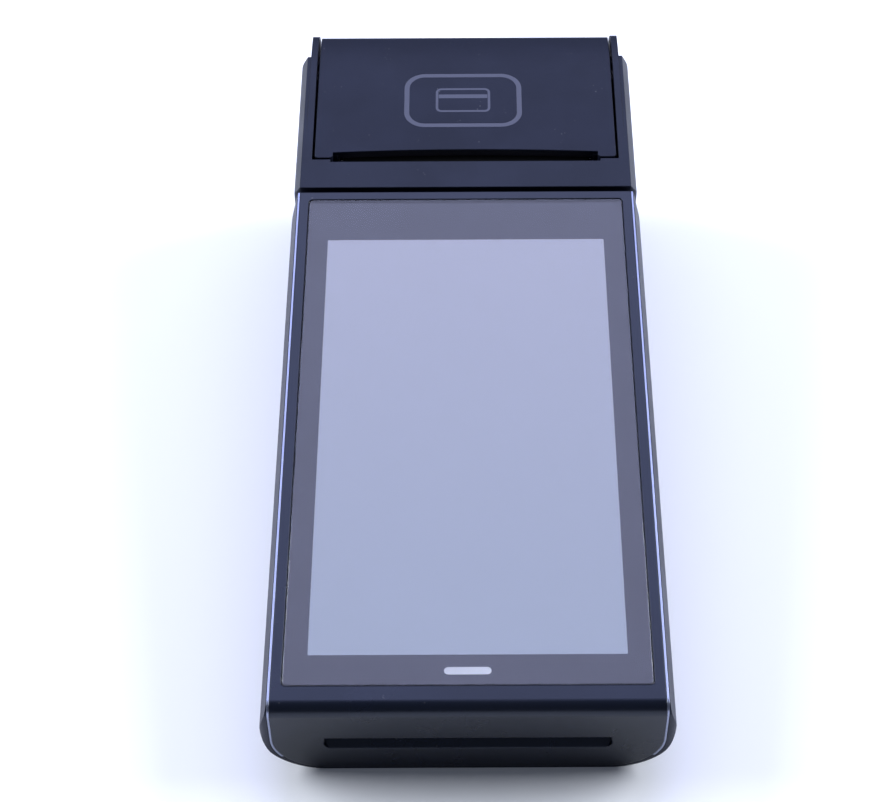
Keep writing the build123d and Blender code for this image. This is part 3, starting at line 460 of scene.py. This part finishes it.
HOUSING = (0.0035, 0.0048, 0.0120)
COVER = (0.0030, 0.0042, 0.0120)
BEZEL = (0.0015, 0.0026, 0.0075)
NAVY_SHEEN = (0.78, 0.86, 1.0)
MADE = {
    "housing": moulded("satin housing", HOUSING, 0.44, level=0.26, tint=NAVY_SHEEN),
    "cover": moulded(
        "satin cover", COVER, 0.48, grain=5600.0, level=0.24, tint=NAVY_SHEEN
    ),
    "bezel": moulded(
        "fine bezel", BEZEL, 0.30, grain=7000.0, depth=0.000008, level=0.40, tint=NAVY_SHEEN
    ),
    "inner plastic": moulded(
        "inner plastic", (0.018, 0.018, 0.020), 0.55, grain=4200.0, depth=0.00002
    ),
    "button": moulded(
        "button plastic", (0.010, 0.011, 0.015), 0.36, grain=8000.0, depth=0.000006, edge=0.0003
    ),
    "rubber": moulded(
        "soft rubber", (0.020, 0.020, 0.021), 0.78, grain=3600.0, depth=0.00002, level=0.3, dust=1.0
    ),
    "platen rubber": moulded(
        "platen rubber", (0.014, 0.014, 0.015), 0.62, grain=4800.0, depth=0.000015, level=0.35
    ),
    "white acetal": moulded(
        "white acetal", (0.70, 0.69, 0.64), 0.38, grain=4200.0, tone=0.95, edge_highlight=0.0, dust=0.2
    ),
    "battery wrap": moulded(
        "battery wrap", (0.022, 0.026, 0.034), 0.42, grain=2600.0, depth=0.00002
    ),
    "foam": moulded("adhesive foam", (0.012, 0.012, 0.012), 0.9, grain=2400.0, depth=0.00004),
    "amber": moulded(
        "amber flex", (0.36, 0.17, 0.03), 0.3, grain=2500.0, depth=0.000008, tone=0.8, edge_highlight=0.0
    ),
    "ceramic": moulded(
        "glazed ceramic", (0.42, 0.36, 0.30), 0.16, grain=1500.0, depth=0.000002, tone=0.92, edge_highlight=0.0
    ),
    "trim": metal("bright trim", (0.30, 0.33, 0.44), 0.30, stretch=(3000.0, 60.0, 3000.0)),
    "cast metal": metal(
        "cast chassis", (0.42, 0.42, 0.43), 0.5, stretch=(900.0, 900.0, 900.0), depth=0.00002
    ),
    "steel": metal("ground steel", (0.56, 0.56, 0.58), 0.28, stretch=(80.0, 5000.0, 5000.0)),
    "spring": metal("spring wire", (0.16, 0.16, 0.18), 0.36, stretch=(3000.0, 3000.0, 400.0)),
    "can": metal("plated can", (0.58, 0.58, 0.60), 0.33, stretch=(60.0, 3000.0, 3000.0)),
    "aluminium": metal("extruded sink", (0.66, 0.67, 0.69), 0.36, stretch=(4000.0, 4000.0, 70.0)),
    "tin": metal("tin plate", (0.63, 0.63, 0.62), 0.3, stretch=(1400.0, 140.0, 1400.0)),
    "gold": metal("gold contact", (0.83, 0.58, 0.22), 0.22, stretch=(2000.0, 200.0, 2000.0)),
    "copper": metal("copper coil", (0.72, 0.35, 0.18), 0.35, stretch=(1800.0, 1800.0, 1800.0)),
    "nickel": metal("nickel cell", (0.64, 0.63, 0.60), 0.2, stretch=(900.0, 900.0, 3000.0)),
    "board": printed_board(),
    "paper": wound_paper("receipt paper", (0.86, 0.86, 0.84, 1), (0.45, 0.44, 0.42, 1)),
    "card tube": wound_paper("card tube", (0.42, 0.30, 0.19, 1), (0.20, 0.13, 0.08, 1), 0.0003),
    "mark": printed_ink("tap mark ink", (0.042, 0.047, 0.076)),
    "border ink": printed_ink("border ink", (0.004, 0.004, 0.006), 0.35),
    "badge ink": printed_ink("badge ink", (0.85, 0.86, 0.90), 0.5),
    "glass": touch_glass(),
    "display": lit_display(),
}

FINISH = {
    "housing": ["lower_case", "printer_housing", "tear_bar", "battery_cover", "battery_latch"],
    "cover": ["paper_cover"],
    "bezel": ["front_bezel"],
    "inner plastic": [
        "platen_gear", "printer_frame", "paper_bucket", "card_reader_frame",
        "battery_contacts", "button_switches", "speaker",
    ],
    "button": ["power_button", "volume_up_button", "volume_down_button"],
    "rubber": ["front_feet", "rear_feet"],
    "platen rubber": ["platen_roller"],
    "white acetal": ["platen_bushes", "reduction_gear", "board_connectors"],
    "battery wrap": ["battery_pack"],
    "foam": ["display_gasket"],
    "amber": ["display_flex"],
    "ceramic": ["thermal_head"],
    "trim": ["side_trim_strips"],
    "cast metal": ["inner_chassis"],
    "steel": [
        "cover_hinge_pin", "platen_shaft", "gear_stud", "motor_pinion",
        "magstripe_head", "case_screws", "board_screws", "printer_screws",
    ],
    "spring": ["cover_hinge_spring", "head_springs", "latch_springs", "magstripe_spring"],
    "can": ["stepper_motor"],
    "aluminium": ["head_heat_sink"],
    "tin": ["board_shields", "usb_port"],
    "gold": ["card_reader_contacts", "charging_contacts"],
    "copper": ["nfc_antenna"],
    "nickel": ["backup_cell"],
    "board": ["main_board"],
    "paper": ["paper_roll"],
    "card tube": ["paper_core"],
    "mark": ["cover_print"],
    "glass": ["touch_glass"],
    "display": ["lcd_panel"],
}
for finish, names in FINISH.items():
    for name in names:
        mesh = NODES[name].data
        mesh.materials.clear()
        mesh.materials.append(MADE[finish])

# ---------------------------------------------------------------- printed pieces
# Each outline: middle X and Y, width, height, corner radius. BADGE_Z lies just above
# BORDER_Z, both just inside the back of the glass, and MARK_Z just above the cover.
BORDER_OUTSIDE = (0, 70.8, 71.2, 129.8, 0.65)
BORDER_INSIDE = (0, 68.375, 62.3, 110.75, 0.25)
BADGE_BAR = (0, 9.3, 9.2, 1.7, 0.84)
CARD_OUTSIDE = (-0.5, 169.0, 13.0, 8.2, 1.4)
CARD_INSIDE = (-0.5, 169.0, 11.8, 7.0, 0.8)
CARD_STRIPE = (-0.5, 170.3, 11.6, 1.3, 0.05)
BORDER_Z, BADGE_Z, MARK_Z = -1.095, -1.07, 0.012


def add_border_ink():
    """The black border printed on the back of the glass, open over the display."""
    outer, inner = rounded_outline(*BORDER_OUTSIDE), rounded_outline(*BORDER_INSIDE)
    points, faces = band_between(outer, inner, BORDER_Z)
    put_mesh("glass_border_ink", points, faces, "case", MADE["border ink"])


def add_badge():
    """A plain bar printed on the near margin of the glass."""
    points, faces = patch_inside(rounded_outline(*BADGE_BAR), BADGE_Z)
    put_mesh("glass_badge", points, faces, "case", MADE["badge ink"])


def add_tap_mark():
    """A plain card outline with its stripe, printed inside the frame on the cover."""
    outer, inner = rounded_outline(*CARD_OUTSIDE), rounded_outline(*CARD_INSIDE)
    points, faces = band_between(outer, inner, MARK_Z)
    put_mesh("tap_card_outline", points, faces, "cover", MADE["mark"])
    points, faces = patch_inside(rounded_outline(*CARD_STRIPE), MARK_Z)
    put_mesh("tap_card_stripe", points, faces, "cover", MADE["mark"])


add_border_ink()
add_badge()
add_tap_mark()


# ---------------------------------------------------------------- room
FLOOR_REACH = 3.0
FLOOR_COLOUR = (0.90, 0.905, 0.92, 1.0)
SKY_COLOUR, SKY_STRENGTH = (0.72, 0.80, 1.0, 1.0), 0.2
SIDE_COLOUR = (0.88, 0.92, 1.0)
LAMPS = [
    # name, place, aimed at, width, height, watts, colour
    ("overhead", (0.0, 0.62, 1.05), (0, 0, 0), 1.3, 1.0, 13, (0.58, 0.62, 1.0)),
    ("left", (-1.2, 0.27, 0.75), (0, -0.1, 0), 0.9, 0.9, 25, SIDE_COLOUR),
    ("right", (1.2, 0.27, 0.75), (0, -0.1, 0), 0.9, 0.9, 25, SIDE_COLOUR),
]


def make_floor():
    """A pale matt sheet at height zero."""
    mesh = bpy.data.meshes.new("floor")
    r = FLOOR_REACH
    corners = [(-r, -r, 0.0), (r, -r, 0.0), (r, r, 0.0), (-r, r, 0.0)]
    mesh.from_pydata(corners, [], [[0, 1, 2, 3]])
    floor = bpy.data.objects.new("floor", mesh)
    bpy.context.scene.collection.objects.link(floor)
    material = bpy.data.materials.new("pale floor")
    material.use_nodes = True
    tree = material.node_tree
    shader = tree.nodes["Principled BSDF"]
    place = tree.nodes.new("ShaderNodeTexCoord").outputs["Object"]
    paper = noise(tree, place, 40.0, 3.0)
    connect(tree, shader, Roughness=ramp(tree, paper, 0.3, 0.7, 0.88, 0.92))
    shader.inputs["Base Color"].default_value = FLOOR_COLOUR
    shader.inputs["Specular IOR Level"].default_value = 0.1
    mesh.materials.append(material)


def soft_light(name, place, target, width, height, watts, colour):
    """A rectangular lamp aimed at a point."""
    data = bpy.data.lights.new(name, "AREA")
    data.shape = "RECTANGLE"
    data.size, data.size_y = width, height
    data.energy = watts
    data.color = colour
    lamp = bpy.data.objects.new(name, data)
    bpy.context.scene.collection.objects.link(lamp)
    lamp.location = place
    lamp.rotation_mode = "QUATERNION"
    lamp.rotation_quaternion = (Vector(target) - Vector(place)).to_track_quat("-Z", "Y")


def make_room():
    """The floor, a dim cool surround and three large lamps."""
    make_floor()
    world = bpy.data.worlds.new("room")
    bpy.context.scene.world = world
    world.use_nodes = True
    sky = world.node_tree.nodes["Background"]
    sky.inputs[0].default_value = SKY_COLOUR
    sky.inputs[1].default_value = SKY_STRENGTH
    for lamp in LAMPS:
        soft_light(*lamp)
    bpy.context.scene.view_settings.view_transform = "Standard"


make_room()
